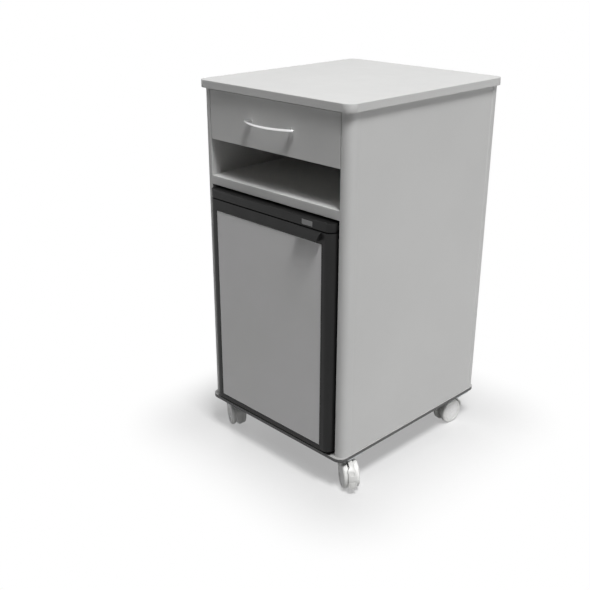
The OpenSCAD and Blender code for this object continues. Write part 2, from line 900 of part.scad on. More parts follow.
// Wire shelf with a rod frame, its top at z
module wire_shelf(z) {
    half_w = room_half_w - 1.5;
    rod_x = half_w - frame_wire_r;
    rod_inset = frame_wire_r + 3;
    y0 = shelf_front_y + rod_inset;
    y1 = shelf_back_y - rod_inset;
    pitch = 2 * rod_x / (cross_wires + 1);
    translate([0, 0, z]) {
        for (s = [-1, 1]) translate([s * rod_x, shelf_back_y, 0]) rotate([90, 0, 0])
            cylinder(r = frame_wire_r, h = shelf_back_y - shelf_front_y);
        for (y = [y0, y1]) translate([-rod_x, y, 0]) rotate([0, 90, 0])
            cylinder(r = frame_wire_r - 0.3, h = 2 * rod_x);
        for (k = [1 : cross_wires]) translate([-rod_x + k * pitch, y1, 0])
            rotate([90, 0, 0]) cylinder(r = cross_wire_r, h = y1 - y0);
    }
}

module wire_shelves() {
    color("white") for (k = [0, 1])
        wire_shelf(low_shelf_top + k * shelf_pitch + frame_wire_r);
}

// Finned plate on the back wall under the roof
module evaporator() {
    z1 = room_top_z - 6;
    fin_pitch = (evap_w - evap_t) / (evap_fins - 1);
    color("lightgray") translate([0, 0, z1 - evap_h]) linear_extrude(evap_h) {
        translate([-evap_w / 2, room_back_y - evap_t]) square([evap_w, evap_t]);
        for (k = [0 : evap_fins - 1])
            translate([-evap_w / 2 + k * fin_pitch, room_back_y - evap_t - evap_d])
                square([evap_t, evap_d + 1]);
    }
}

thermo_y = shelf_front_y + thermo_in;
thermo_z = room_top_z - liner_r - thermo_h / 2 - thermo_drop;
thermo_x = room_half_w - thermo_d;

module thermostat_housing() {
    r = 8;
    color("whitesmoke") difference() {
        along_x(thermo_x, room_half_w)
            translate([thermo_y, thermo_z]) round_rect(thermo_l, thermo_h, r);
        translate([thermo_x - OVER, thermo_y, thermo_z]) rotate([0, 90, 0])
            cylinder(r = shaft_r + run_gap, h = 12 + OVER);
    }
}

// Round knob with a pointer rib and a shaft into the housing
module thermostat_knob() {
    face_x = thermo_x - SLACK;
    color("gray") translate([face_x, thermo_y, thermo_z]) {
        rotate([0, -90, 0]) rotate_extrude() {
            square([knob_r, knob_h - 4]);
            square([knob_r - 2, knob_h - 2]);
        }
        translate([-knob_h, -2, -knob_r + 3]) cube([4, 4, 2 * knob_r - 6]);
        translate([-OVER, 0, 0]) rotate([0, 90, 0]) cylinder(r = shaft_r, h = 11 + OVER);
    }
}

// ---------- Cooling unit behind the case ----------

unit_back_y = case_back_y + unit_y;
tank_mid_z = fridge_z + tank_z;
cond_z = case_top_z - cond_drop - cond_h;
cond_mid_z = cond_z + cond_h / 2;
boiler_x = case_half_w - boiler_in;
cond_x1 = boiler_x + tube_r;
cond_x0 = cond_x1 - cond_l;

module tube_z(x, z0, z1, r) {
    translate([x, unit_back_y, z0]) cylinder(r = r, h = z1 - z0);
}

module tube_x(z, x0, x1, r) {
    translate([x0, unit_back_y, z]) rotate([0, 90, 0]) cylinder(r = r, h = x1 - x0);
}

// Lug that ties a tube to the back of the case
module lug(x, z, r) {
    box([x - 6, case_back_y, z - 4], [x + 6, unit_back_y - r / 2, z + 4]);
}

// Tank with a ladder of tubes above it
module absorber() {
    x1 = boiler_x - boiler_r - tank_gap;
    x0 = x1 - tank_l;
    ladder_x0 = x0 + 2.5 * tube_r;
    ladder_x1 = x1 - 5 * tube_r;
    ladder_z = tank_mid_z + tank_r + 1.75 * tube_r;
    color("darkslategray") {
        tube_x(tank_mid_z, x0, x1, tank_r);
        for (k = [0 : ladder_rows - 1]) {
            z = ladder_z + k * ladder_pitch;
            rise_x = k % 2 == 0 ? ladder_x0 : ladder_x1;
            low = k == 0 ? tank_mid_z : z - ladder_pitch;
            tube_x(z, ladder_x0, ladder_x1, tube_r);
            tube_z(rise_x, low, z, tube_r);
            for (x = [ladder_x0, ladder_x1]) translate([x, unit_back_y, z])
                sphere(r = tube_r);
        }
        for (x = [x0 + tank_l / 4, x1 - tank_l / 4]) lug(x, tank_mid_z, tank_r);
    }
}

// Insulated upright jacket with its tube
module boiler() {
    z0 = tank_mid_z - 2.5 * tube_r;
    top_z = cond_mid_z - tube_r - SLACK;
    color("lightgray") {
        tube_z(boiler_x, z0, z0 + boiler_l, boiler_r);
        tube_z(boiler_x, z0 - 14, top_z, tube_r);
        for (z = [z0 + boiler_l / 6, z0 + boiler_l * 5 / 6]) lug(boiler_x, z, boiler_r);
    }
}

// Finned tube across the top, its fins short of the boiler's tube
module condenser() {
    fin_x0 = cond_x0 + tube_r;
    fin_x1 = cond_x1 - 3 * tube_r;
    pitch = (fin_x1 - fin_x0 - cond_t) / (cond_fins - 1);
    color("darkslategray") {
        tube_x(cond_mid_z, cond_x0, cond_x1, tube_r);
        for (k = [0 : cond_fins - 1])
            box([fin_x0 + k * pitch, unit_back_y - cond_d / 2, cond_z],
                [fin_x0 + k * pitch + cond_t, unit_back_y + cond_d / 2, cond_z + cond_h]);
        for (x = [cond_x0 + tube_r / 2, cond_x1 - tube_r]) lug(x, cond_mid_z, tube_r);
    }
}

// Box for the heater's wiring, with a ribbed gland for a lead on its lower face
module terminal_box() {
    z0 = cond_z - term_drop - term_w;
    mid_y = case_back_y + term_d / 2;
    gland_x = cond_x0 + term_w / 2;
    gland_l = 12;
    color("dimgray") difference() {
        union() {
            box([cond_x0, case_back_y, z0], [cond_x0 + term_w, case_back_y + term_d, z0 + term_w]);
            translate([gland_x, mid_y, z0 - gland_l]) cylinder(r = 7, h = gland_l + 1);
            for (k = [0, 1, 2]) translate([gland_x, mid_y, z0 - gland_l + 1 + 4 * k])
                cylinder(r = 8.5, h = 2);
        }
        translate([gland_x, mid_y, z0 - gland_l - OVER]) cylinder(r = 3.6, h = gland_l + 8);
    }
}

// ---------- Refrigerator door ----------

module hinge_bosses(grow) {
    for (z = [door_z, door_top_z - boss_h]) translate([hinge_x, hinge_y, z])
        cylinder(r = boss_r + grow, h = boss_h);
}

// Room inside the moulded frame, open at the back
module door_cavity() {
    translate([0, 0, door_z + frame_t]) linear_extrude(door_h - 2 * frame_t)
        front_round(door_half_w - frame_t, cavity_y, door_back_y + OVER, door_r - 2);
}

module door_window(y0, y1, lip) {
    box([-decor_half_w + lip, y0, decor_z + lip],
        [decor_half_w - lip, y1, decor_z + decor_h - lip]);
}

// Moulded frame with a pocket for the decor panel and a boss round each hinge pin
module door_frame() {
    color("black") difference() {
        union() {
            difference() {
                translate([0, 0, door_z]) linear_extrude(door_h)
                    front_round(door_half_w, door_y, door_back_y, door_r);
                door_cavity();
                door_window(door_y - OVER, web_y, 0);
                door_window(door_y - OVER, cavity_y + OVER, decor_lip);
            }
            hinge_bosses(0);
        }
        for (z = [door_z - OVER, door_top_z - pin_l - 1])
            translate([hinge_x, hinge_y, z])
                cylinder(r = pin_r + run_gap, h = pin_l + 1 + OVER);
    }
}

module decor_panel() {
    fit = 0.2;
    color("silver") box([-decor_half_w + fit, door_y + decor_recess, decor_z + fit],
                        [decor_half_w - fit, web_y, decor_z + decor_h - fit]);
}

module door_foam() {
    color("khaki") difference() {
        union() {
            door_window(web_y, cavity_y + OVER, decor_lip);
            intersection() {
                door_cavity();
                box([-door_half_w, door_y, door_z],
                    [door_half_w, door_back_y - liner_t, door_top_z]);
            }
        }
        hinge_bosses(0.1);
    }
}

// Inner face of the door with a deep wall at each side for the racks
module door_liner() {
    color("white") {
        box([-door_half_w + frame_t, door_back_y - liner_t, door_z + frame_t],
            [door_half_w - frame_t, door_back_y, door_top_z - frame_t]);
        both_sides() translate([0, 0, dyke_z]) linear_extrude(dyke_h) {
            translate([dyke_inner_x, door_back_y - liner_t])
                square([dyke_w, seal_d + dyke_d + liner_t - dyke_w / 2]);
            translate([dyke_inner_x + dyke_w / 2, case_y + dyke_d - dyke_w / 2])
                circle(dyke_w / 2);
        }
    }
}

// Soft ring between the door and the flange of the case
module door_seal() {
    w = room_half_w + seal_gap;
    z0 = room_z - seal_gap;
    h = room_top_z - room_z + 2 * seal_gap;
    color("gray") along_y(door_back_y, case_y - SLACK) difference() {
        translate([-w - seal_w, z0 - seal_w]) square([2 * (w + seal_w), h + 2 * seal_w]);
        translate([-w, z0]) square([2 * w, h]);
    }
}

// Upper face of the pull as an arc from the door to its lip
function pull_curve(reach, drop, bulge, steps) =
    let (l = norm([reach, drop]),
         r = (l * l / 4 + bulge * bulge) / (2 * bulge),
         a = asin(l / 2 / r),
         slope = atan2(drop, reach))
    [for (k = [0 : steps])
        let (t = -a + 2 * a * k / steps,
             along = l / 2 + r * sin(t),
             out = r * cos(t) - r * cos(a))
        [-along * cos(slope) - out * sin(slope),
         -along * sin(slope) + out * cos(slope)]];

module pull_profile(reach, h) {
    polygon(concat([[0, -h], [0, 0]],
                   pull_curve(reach, h - pull_lip, pull_bulge, 10),
                   [[-reach, -h]]));
}

// Hooded grip, open from below
module door_pull() {
    x1 = decor_half_w - pull_inset;
    x0 = x1 - pull_w;
    color("black") difference() {
        along_x(x0, x1) translate([door_y, door_top_z]) pull_profile(pull_reach, pull_h);
        along_x(x0 + pull_t, x1 - pull_t)
            translate([door_y - 0.8, door_top_z - pull_t - 1.2])
                pull_profile(pull_reach - 0.8 - pull_t, pull_h);
    }
}

// Open tray between the side walls of the door liner
module door_rack(z, h) {
    y0 = door_back_y + rack_gap;
    y1 = case_y + dyke_d - 6;
    color("white") difference() {
        box([-rack_half_w, y0, z], [rack_half_w, y1, z + h]);
        box([-rack_half_w + rack_t, y0 + rack_t, z + rack_t],
            [rack_half_w - rack_t, y1 - rack_t, z + h + OVER]);
    }
}

module lower_door_rack() {
    door_rack(low_rack_z, low_rack_h);
}

module upper_door_rack() {
    door_rack(low_rack_z + rack_pitch, high_rack_h);
}

// ---------- Casters ----------

module swivel_places() {
    for (sx = [-1, 1], sy = [-1, 1])
        translate([sx * swivel_x, plan_y + sy * swivel_y, 0]) children();
}

module screw_places() {
    swivel_places() for (sx = [-1, 1], sy = [-1, 1])
        translate([sx * plate_pitch / 2, sy * plate_pitch / 2, 0]) children();
}

// Plates with the swivel bearings
module caster_plates() {
    color("lightgray") difference() {
        swivel_places() {
            translate([0, 0, plate_z]) linear_extrude(plate_t)
                round_rect(plate_w, plate_w, 6);
            translate([0, 0, bearing_z]) cylinder(r = bearing_r, h = bearing_h);
        }
        swivel_places() translate([0, 0, bearing_z - OVER])
            cylinder(r = king_r + run_gap, h = bearing_h + plate_t + 2 * OVER);
        screw_places() translate([0, 0, plate_z - OVER])
            cylinder(r = screw_r + 0.1, h = plate_t + 2 * OVER);
    }
}

module caster_kingpins() {
    color("lightsteelblue") swivel_places() translate([0, 0, king_z])
        cylinder(r = king_r, h = caster_h - king_z);
}

module caster_screws() {
    head_h = 1.8;
    color("lightgray") screw_places() {
        translate([0, 0, plate_z - head_h]) cylinder(r = 2 * screw_r, h = head_h);
        translate([0, 0, plate_z - OVER])
            cylinder(r = screw_r, h = plate_t + base_t - 1 + OVER);
    }
}

// Places a caster part drawn with its wheel axis through the origin, rolling along +X,
// the kingpin at X = -trail
module at_caster(sx, sy, turn) {
    translate([sx * swivel_x, plan_y + sy * swivel_y, wheel_r])
        rotate([0, 0, turn - 90]) translate([trail, 0, 0]) children();
}

// Extrusion to both sides of the caster's middle of a shape drawn along the roll and up
module across(half_w) {
    translate([0, half_w, 0]) rotate([90, 0, 0]) linear_extrude(2 * half_w) children();
}

module ring_sector(r0, r1, a0, a1) {
    reach = 2 * r1;
    steps = 6;
    intersection() {
        difference() {
            circle(r1);
            circle(r0);
        }
        polygon(concat([[0, 0]], [for (k = [0 : steps])
            let (a = a0 + (a1 - a0) * k / steps) [reach * cos(a), reach * sin(a)]]));
    }
}

// Web between the wheels with a hood over them and a boss round the kingpin
module caster_fork(braked) {
    top = boss_top_z - wheel_r;
    boss_z = top - boss_l;
    room_in = wheel_in - 0.7;
    color("whitesmoke") difference() {
        union() {
            across(caster_half_w) ring_sector(hood_in, hood_out, hood_start, hood_end);
            across(web_t / 2) {
                circle(web_r);
                ring_sector(web_r - 2, hood_out, hood_start, hood_end);
            }
            across(stem_t / 2) translate([-trail - king_r - king_wall, 0])
                square([2 * (king_r + king_wall), boss_z]);
            translate([-trail, 0, boss_z]) cylinder(r = bearing_r - 2, h = boss_l);
            if (braked) translate([pivot_u, cheek_out, pivot_z]) rotate([90, 0, 0])
                cylinder(r = pedal_pin_r, h = 2 * cheek_out);
        }
        translate([-trail, 0, top - king_l - 1])
            cylinder(r = king_r + run_gap, h = king_l + 1 + OVER);
        translate([0, web_t, 0]) rotate([90, 0, 0])
            cylinder(r = axle_r + run_gap, h = 2 * web_t);
        // the wheels' room
        for (s = [-1, 1]) translate([0, s * (caster_half_w + room_in) / 2, 0])
            rotate([90, 0, 0])
                cylinder(r = hood_in - 0.2, h = caster_half_w - room_in, center = true);
    }
}

module caster_axle() {
    half_l = caster_half_w - 3;
    color("lightsteelblue") translate([0, half_l, 0]) rotate([90, 0, 0])
        cylinder(r = axle_r, h = 2 * half_l);
}

// Wheel with a blind bore, a dished outer face and a rounded tread
module caster_wheel(side) {
    w = caster_half_w - wheel_in;
    inner_r = 2;
    dish_r = wheel_r - tread_r - 3;
    color("white") rotate([-90, 0, 0]) mirror([0, 0, side > 0 ? 0 : 1])
        translate([0, 0, wheel_in]) rotate_extrude() difference() {
            union() {
                square([wheel_r - tread_r, w]);
                square([wheel_r, w - tread_r]);
                translate([wheel_r - tread_r, w - tread_r]) circle(tread_r);
            }
            translate([-wheel_r, 0]) square([wheel_r, w]);
            translate([0, -OVER]) square([axle_r + run_gap, w - 2.5 + OVER]);
            translate([6, w - 1]) square([dish_r - 6, 2]);
            translate([wheel_r - inner_r, -OVER]) square([inner_r + OVER, inner_r + OVER]);
        }
}

// Side of the pedal: along the wheels, its lower end leaning outward
module pedal_side() {
    ring_sector(pedal_in, pedal_out, 0, pedal_top);
    polygon([[pedal_in, OVER / 2], [pedal_in, 0], [pedal_in + pedal_lean, -pedal_drop],
             [pedal_out + pedal_lean, -pedal_drop], [pedal_out, 0], [pedal_out, OVER / 2]]);
}

// Front of the pedal: a foot plate with a round lower end under a narrow neck
module pedal_front() {
    half = pedal_w / 2;
    neck = neck_w / 2;
    z0 = half - pedal_drop;
    z1 = pedal_out * sin(pedal_shoulder);
    z2 = z1 + half - neck;
    translate([0, z0]) circle(half);
    polygon([[-half, z0], [half, z0], [half, z1], [neck, z2], [neck, pedal_out + OVER],
             [-neck, pedal_out + OVER], [-neck, z2], [-half, z1]]);
}

// Raised grip pad on the leaning lower end of the foot plate
module grip_pad() {
    half = pedal_w / 2 - pad_in;
    z0 = pedal_w / 2 - pedal_drop;
    intersection() {
        across(half) polygon([[pedal_out - OVER, 0], [pedal_out + pad_t, 0],
                              [pedal_out + pedal_lean + pad_t, -pedal_drop],
                              [pedal_out + pedal_lean - OVER, -pedal_drop]]);
        along_x(wheel_r, pedal_out + pedal_lean + OVER) {
            translate([0, z0]) circle(half);
            translate([-half, z0]) square([2 * half, -z0 - pad_t]);
        }
    }
}

// Foot plate and neck on two cheeks that turn on the fork's pin
module brake_pedal() {
    dimple_a = pedal_shoulder - 13;
    color("whitesmoke") difference() {
        union() {
            intersection() {
                across(pedal_w / 2) pedal_side();
                along_x(-wheel_r / 2, pedal_out + pedal_lean + OVER) pedal_front();
            }
            grip_pad();
            for (s = [-1, 1]) translate([0, s * (cheek_in + cheek_t / 2), 0])
                across(cheek_t / 2) {
                    translate([pivot_u, pivot_z]) circle(pedal_pin_r + 2.4);
                    ring_sector(pedal_pivot_r - 4, pedal_in + 1,
                                pedal_pivot_a - 8, pedal_pivot_a + 28);
                }
        }
        translate([pivot_u, pedal_w, pivot_z]) rotate([90, 0, 0])
            cylinder(r = pedal_pin_r + run_gap, h = 2 * pedal_w);
        rotate([0, -dimple_a, 0]) translate([pedal_out - 0.9, 0, 0]) rotate([0, 90, 0])
            cylinder(r = dimple_r, h = pedal_t);
    }
}

module front_left() { at_caster(-1, -1, turn_front_left) children(); }
module front_right() { at_caster(1, -1, turn_front_right) children(); }
module rear_left() { at_caster(-1, 1, turn_rear_left) children(); }
module rear_right() { at_caster(1, 1, turn_rear_right) children(); }

// ---------- Nodes ----------

top_board();
base_board();
left_side_panel();
right_side_panel();
front_corner_posts();
rear_corner_posts();
niche_shelf();
back_panel();
cable_grommet();
rail_battens();
cabinet_rails();
middle_rails();
drawer_rails();
drawer_front();
drawer_tray();
drawer_handle();
handle_screws();
fridge_case();
fridge_foam();
fridge_liner();
fridge_bar();
fridge_feet();
door_hinges();
wire_shelves();
evaporator();
thermostat_housing();
thermostat_knob();
condenser();
absorber();
boiler();
terminal_box();
door_frame();
decor_panel();
door_foam();
door_liner();
door_seal();
door_pull();
upper_door_rack();
lower_door_rack();
caster_plates();
caster_kingpins();
caster_screws();
front_left() caster_fork(true);  // front_left_fork
front_left() caster_axle();  // front_left_axle
front_left() caster_wheel(1);  // front_left_inner_wheel
front_left() caster_wheel(-1);  // front_left_outer_wheel
front_left() brake_pedal();  // front_left_pedal
front_right() caster_fork(true);  // front_right_fork
front_right() caster_axle();  // front_right_axle
front_right() caster_wheel(-1);  // front_right_inner_wheel
front_right() caster_wheel(1);  // front_right_outer_wheel
front_right() brake_pedal();  // front_right_pedal
rear_left() caster_fork(false);  // rear_left_fork
rear_left() caster_axle();  // rear_left_axle
rear_left() caster_wheel(1);  // rear_left_inner_wheel
rear_left() caster_wheel(-1);  // rear_left_outer_wheel
rear_right() caster_fork(false);  // rear_right_fork
rear_right() caster_axle();  // rear_right_axle
rear_right() caster_wheel(-1);  // rear_right_inner_wheel
rear_right() caster_wheel(1);  // rear_right_outer_wheel
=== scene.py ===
# Refrigerator nightstand: grey laminate cabinet on twin-wheel casters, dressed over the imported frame.
import math
import bmesh
import bpy
from mathutils import Matrix, Vector


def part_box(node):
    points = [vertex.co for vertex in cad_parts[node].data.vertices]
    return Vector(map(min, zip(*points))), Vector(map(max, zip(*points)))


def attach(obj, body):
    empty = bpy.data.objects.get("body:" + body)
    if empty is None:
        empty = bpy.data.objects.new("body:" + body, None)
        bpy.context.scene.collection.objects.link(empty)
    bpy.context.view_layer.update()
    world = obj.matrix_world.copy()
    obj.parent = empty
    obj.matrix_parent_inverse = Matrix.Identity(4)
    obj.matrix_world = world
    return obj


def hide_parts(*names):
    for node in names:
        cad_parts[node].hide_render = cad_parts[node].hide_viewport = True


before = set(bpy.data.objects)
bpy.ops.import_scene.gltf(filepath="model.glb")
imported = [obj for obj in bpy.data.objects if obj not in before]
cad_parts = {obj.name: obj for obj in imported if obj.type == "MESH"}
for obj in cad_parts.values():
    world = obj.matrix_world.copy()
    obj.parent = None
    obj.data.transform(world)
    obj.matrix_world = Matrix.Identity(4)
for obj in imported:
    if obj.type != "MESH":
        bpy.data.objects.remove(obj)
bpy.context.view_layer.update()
mm = 0.001
print("frame loaded")


# colours and shader nodes

def toLinear(hexText):
    parts = [int(hexText[i:i + 2], 16) / 255 for i in (1, 3, 5)]
    return tuple(p / 12.92 if p <= 0.04045 else ((p + 0.055) / 1.055) ** 2.4 for p in parts) + (1,)


# An input goes by its name or its place in the node. A Mix of colours has its factor at 0, its colours at 6
# and 7, and its result at output 2.
def addNode(tree, kind, settings=None, links=None):
    node = tree.nodes.new(kind)
    for name, value in (settings or {}).items():
        if isinstance(name, int) or name in node.inputs:
            node.inputs[name].default_value = value
        else:
            setattr(node, name, value)
    for name, source in (links or {}).items():
        tree.links.new(source, node.inputs[name])
    return node


def newSurface(name, finish):
    surface = bpy.data.materials.new(name)
    surface.use_nodes = True
    tree = surface.node_tree
    shader = tree.nodes["Principled BSDF"]
    for socket, value in finish.items():
        shader.inputs[socket].default_value = value
    place = addNode(tree, "ShaderNodeTexCoord").outputs["Object"]
    return surface, tree, shader, place


def perMetre(sizeMm):
    return 1000 / sizeMm     # repeats of a pattern of this size in one metre


# nearly all of a noise lies between low and high; detail is how many finer layers it has
noiseSetup = {"low": 0.3, "high": 0.7, "colourDetail": 3, "roughDetail": 4, "grainDetail": 2}


def varyColour(tree, shader, place, tones, sizeMm):
    noise = addNode(tree, "ShaderNodeTexNoise",
                    {"Scale": perMetre(sizeMm), "Detail": noiseSetup["colourDetail"]}, {"Vector": place})
    ramp = addNode(tree, "ShaderNodeValToRGB", links={"Fac": noise.outputs["Fac"]})
    for stop, side, tone in zip(ramp.color_ramp.elements, ("low", "high"), tones):
        stop.position = noiseSetup[side]
        stop.color = toLinear(tone)
    tree.links.new(ramp.outputs["Color"], shader.inputs["Base Color"])


def varyRoughness(tree, shader, place, rough, sizeMm):
    noise = addNode(tree, "ShaderNodeTexNoise",
                    {"Scale": perMetre(sizeMm), "Detail": noiseSetup["roughDetail"]}, {"Vector": place})
    spread = addNode(tree, "ShaderNodeMapRange",
                     {"From Min": noiseSetup["low"], "From Max": noiseSetup["high"], "To Min": rough[0],
                      "To Max": rough[1]}, {"Value": noise.outputs["Fac"]})
    tree.links.new(spread.outputs["Result"], shader.inputs["Roughness"])


def raiseGrain(tree, shader, place, grain):
    noise = addNode(tree, "ShaderNodeTexNoise",
                    {"Scale": perMetre(grain["sizeMm"]), "Detail": noiseSetup["grainDetail"]},
                    {"Vector": place})
    bump = addNode(tree, "ShaderNodeBump", {"Strength": grain["strength"], "Distance": grain["depthMm"] * mm},
                   {"Height": noise.outputs["Fac"]})
    tree.links.new(bump.outputs["Normal"], shader.inputs["Normal"])


# Melamine paper on chipboard, pressed on a fine-textured plate: matt grey with a faint pearl grain.
# The plate's real grain, about 0.3 mm, is drawn coarser so that it shows.
laminateLook = {"board": ("#cececd", "#d2d2d1"), "decor": ("#dadad9", "#deddde"), "cloudMm": 260, "ior": 1.5,
                "rough": (0.46, 0.56), "patchMm": 40,
                "grain": {"sizeMm": 1.4, "depthMm": 0.03, "strength": 0.5}}


def greyLaminate(name, tones):
    surface, tree, shader, place = newSurface(name, {"IOR": laminateLook["ior"]})
    varyColour(tree, shader, place, tones, laminateLook["cloudMm"])
    varyRoughness(tree, shader, place, laminateLook["rough"], laminateLook["patchMm"])
    raiseGrain(tree, shader, place, laminateLook["grain"])
    return surface


# Compact board, resin and paper pressed into one: a light printed face over a dark core that shows at the
# edge. The face's colour comes in as the upward part of the normal goes from faceFrom to faceTo.
compactLook = {"face": "#b2b2b1", "core": ("#4c4c4c", "#585858"), "coreMm": 9, "faceFrom": 0.6, "faceTo": 0.8,
               "ior": 1.5, "rough": 0.45, "grain": {"sizeMm": 1.2, "depthMm": 0.03, "strength": 0.4}}


def compactBoard():
    surface, tree, shader, place = newSurface(
        "compactLaminateDarkCore", {"IOR": compactLook["ior"], "Roughness": compactLook["rough"]})
    normal = addNode(tree, "ShaderNodeTexCoord").outputs["Normal"]
    up = addNode(tree, "ShaderNodeSeparateXYZ", links={"Vector": normal}).outputs["Z"]
    facing = addNode(tree, "ShaderNodeMapRange",
                     {"From Min": compactLook["faceFrom"], "From Max": compactLook["faceTo"]}, {"Value": up})
    cloud = addNode(tree, "ShaderNodeTexNoise",
                    {"Scale": perMetre(compactLook["coreMm"]), "Detail": noiseSetup["colourDetail"]},
                    {"Vector": place})
    core = addNode(tree, "ShaderNodeMix", {"data_type": "RGBA", 6: toLinear(compactLook["core"][0]),
                                           7: toLinear(compactLook["core"][1])}, {0: cloud.outputs["Fac"]})
    mix = addNode(tree, "ShaderNodeMix", {"data_type": "RGBA", 7: toLinear(compactLook["face"])},
                  {0: facing.outputs["Result"], 6: core.outputs[2]})
    tree.links.new(mix.outputs[2], shader.inputs["Base Color"])
    raiseGrain(tree, shader, place, compactLook["grain"])
    return surface


# tool grain and brushing are finer than a render shows, so both are drawn a little coarser
plasticLook = {"cloudMm": 120, "patchMm": 25, "grain": {"sizeMm": 0.9, "depthMm": 0.03, "strength": 0.5}}
metalLook = {"cloudMm": 60, "patchMm": 12, "grain": {"sizeMm": 0.5, "depthMm": 0.01, "strength": 0.4}}


def plainPlastic(name, tones, rough, ior, specular=0.5, cloudMm=plasticLook["cloudMm"]):
    surface, tree, shader, place = newSurface(name, {"IOR": ior, "Specular IOR Level": specular})
    varyColour(tree, shader, place, tones, cloudMm)
    varyRoughness(tree, shader, place, rough, plasticLook["patchMm"])
    raiseGrain(tree, shader, place, plasticLook["grain"])
    return surface


def plainMetal(name, tones, rough):
    surface, tree, shader, place = newSurface(name, {"Metallic": 1.0})
    varyColour(tree, shader, place, tones, metalLook["cloudMm"])
    varyRoughness(tree, shader, place, rough, metalLook["patchMm"])
    raiseGrain(tree, shader, place, metalLook["grain"])
    return surface


looks = {
    "laminate": greyLaminate("greyMelamineLaminate", laminateLook["board"]),
    "decor": greyLaminate("paleGreyPressedLaminate", laminateLook["decor"]),
    "base": compactBoard(),
    # ABS moulded in an etched tool: near black with an even, quiet sheen
    "black": plainPlastic("blackAbsMoulded", ("#101010", "#141414"), (0.46, 0.54), 1.54, specular=0.26),
    # polystyrene sheet, vacuum formed: clean warm white with a soft gloss
    "white": plainPlastic("whitePolystyreneFormed", ("#e6e6e2", "#ebebe8"), (0.28, 0.36), 1.59),
    # polyamide moulded in a smooth tool: pale and slightly waxy
    "caster": plainPlastic("lightGreyNylonMoulded", ("#dadad8", "#e0e0de"), (0.32, 0.42), 1.53),
    # polyurethane cast on the rim: pale and dull, so that the tread doesn't shine
    "tread": plainPlastic("lightGreyPolyurethaneCast", ("#efefed", "#f4f4f2"), (0.45, 0.55), 1.5),
    # polyamide moulded in a polished tool: the whitest part of the caster, with a soft highlight
    "cap": plainPlastic("whiteNylonMoulded", ("#f7f7f6", "#fbfbfa"), (0.24, 0.32), 1.53),
    # ABS moulded in a fine-grained tool: mid grey, a touch glossier than the bar it sits in
    "badge": plainPlastic("greyAbsMoulded", ("#868686", "#8c8c8c"), (0.35, 0.45), 1.54),
    # ink from a printing pad: flat dark grey, without a gloss of its own
    "print": plainPlastic("greyPadPrintInk", ("#55585a", "#5c5f61"), (0.6, 0.7), 1.5),
    # polypropylene moulded in a spark-eroded tool: mid grey and dull
    "grey": plainPlastic("greyPolypropyleneMoulded", ("#6a6a6a", "#727272"), (0.45, 0.55), 1.49),
    # soft vinyl, extruded: grey and matt, darker in its folds
    "seal": plainPlastic("greyVinylExtruded", ("#8a8a88", "#929290"), (0.5, 0.6), 1.54),
    # aluminium, satin finished and anodised: a long bright highlight with soft ends
    "handle": plainMetal("satinAnodisedAluminium", ("#dedede", "#e6e6e6"), (0.28, 0.34)),
    # steel plated with bright zinc: cool and slightly clouded
    "zinc": plainMetal("brightZincPlatedSteel", ("#b8bbbe", "#c8cbcd"), (0.3, 0.42)),
    # hot-dipped sheet: duller and more clouded than plating
    "jacket": plainMetal("galvanisedSheetSteel", ("#a8abad", "#c2c4c6"), (0.35, 0.5)),
    # aluminium fin, anodised: pale, even and satin
    "evaporator": plainMetal("anodisedAluminiumFin", ("#c4c8cb", "#d2d5d8"), (0.35, 0.45)),
    # stoved enamel on steel tube: black with a low gloss
    "darkSteel": plainPlastic("blackEnamelledSteel", ("#161616", "#1c1c1c"), (0.35, 0.45), 1.52),
    # powder coat on sheet: very dark grey with a fine dull skin
    "caseSteel": plainPlastic("darkPowderCoatedSteel", ("#242424", "#2a2a2a"), (0.5, 0.6), 1.5),
    # wire dipped in epoxy: white and softly glossy
    "wire": plainPlastic("whiteEpoxyCoatedWire", ("#e8e8e6", "#efefed"), (0.3, 0.4), 1.55),
    # beech, planed and unfinished: warm brown in short flecks
    "batten": plainPlastic("planedBeech", ("#b58e62", "#c9a377"), (0.55, 0.65), 1.5, cloudMm=14),
    # polyurethane foamed in place: yellowish and quite dull
    "foam": plainPlastic("rigidPolyurethaneFoam", ("#d8cd98", "#e0d6a4"), (0.9, 0.95), 1.5),
}
print("materials made")

nodeLooks = {
    "laminate": "top_board left_side_panel right_side_panel front_corner_posts rear_corner_posts "
                "niche_shelf back_panel drawer_front",
    "base": "base_board",
    "decor": "decor_panel",
    "black": "fridge_bar door_frame door_pull",
    "white": "drawer_tray fridge_liner door_liner upper_door_rack lower_door_rack thermostat_housing",
    "grey": "thermostat_knob cable_grommet terminal_box fridge_feet",
    "seal": "door_seal",
    "handle": "drawer_handle",
    "zinc": "cabinet_rails middle_rails drawer_rails caster_plates caster_kingpins caster_screws "
            "handle_screws door_hinges front_left_axle front_right_axle rear_left_axle rear_right_axle",
    "jacket": "boiler",
    "evaporator": "evaporator",
    "darkSteel": "condenser absorber",
    "caseSteel": "fridge_case",
    "wire": "wire_shelves",
    "batten": "rail_battens",
    "foam": "fridge_foam door_foam",
    "caster": "front_left_fork front_right_fork rear_left_fork rear_right_fork "
              "front_left_pedal front_right_pedal",
    "tread": "front_left_inner_wheel front_left_outer_wheel front_right_inner_wheel front_right_outer_wheel "
             "rear_left_inner_wheel rear_left_outer_wheel rear_right_inner_wheel rear_right_outer_wheel",
}
for look, names in nodeLooks.items():
    for name in names.split():
        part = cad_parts[name]
        part.data.materials.clear()
        part.data.materials.append(looks[look])

